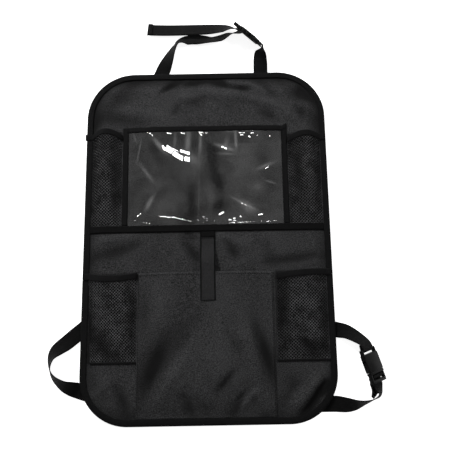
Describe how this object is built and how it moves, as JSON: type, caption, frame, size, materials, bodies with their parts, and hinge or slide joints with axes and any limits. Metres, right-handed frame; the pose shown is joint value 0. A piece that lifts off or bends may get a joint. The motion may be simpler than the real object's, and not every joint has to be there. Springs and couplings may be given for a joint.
{
  "type": "car seat back organizer",
  "caption": "Soft fabric organizer panel for the back of a car seat, with a clear tablet window, net pockets, a large pocket and buckled webbing straps, lying flat.",
  "frame": {"origin": "on the table, under the middle of the whole outline with its straps", "axes": "+X to the right seen from the front, +Y up the seat towards the head restraint, +Z out of the front of the panel"},
  "size_m": [0.546, 0.7002, 0.034],
  "materials": {
    "panel_cloth": "woven polyester, matt",
    "binding_tape": "woven tape, matt",
    "net": "knitted net, matt",
    "clear_film": "clear flexible film, glossy",
    "webbing": "ribbed polypropylene webbing",
    "buckle_plastic": "moulded acetal, satin",
    "hook_and_loop": "hook and loop tape"
  },
  "bodies": {
    "root": {"back_panel": "panel_cloth", "edge_binding": "binding_tape", "divider_band": "binding_tape", "window_film": "clear_film", "window_top_binding": "binding_tape", "window_left_tape": "binding_tape", "window_right_tape": "binding_tape", "large_pocket": "panel_cloth", "closing_tab": "webbing", "hook_patch": "hook_and_loop", "loop_patch": "hook_and_loop", "top_buckle_socket": "buckle_plastic", "top_buckle_prongs": "buckle_plastic", "side_buckle_socket": "buckle_plastic", "side_buckle_prongs": "buckle_plastic", "top_strap_long": "webbing", "top_strap_short": "webbing", "side_strap_long": "webbing", "side_strap_short": "webbing", "upper_left_net": "net", "upper_left_elastic": "binding_tape", "upper_right_net": "net", "upper_right_elastic": "binding_tape", "lower_left_net": "net", "lower_left_elastic": "binding_tape", "lower_right_net": "net", "lower_right_elastic": "binding_tape"}
  },
  "joints": []
}
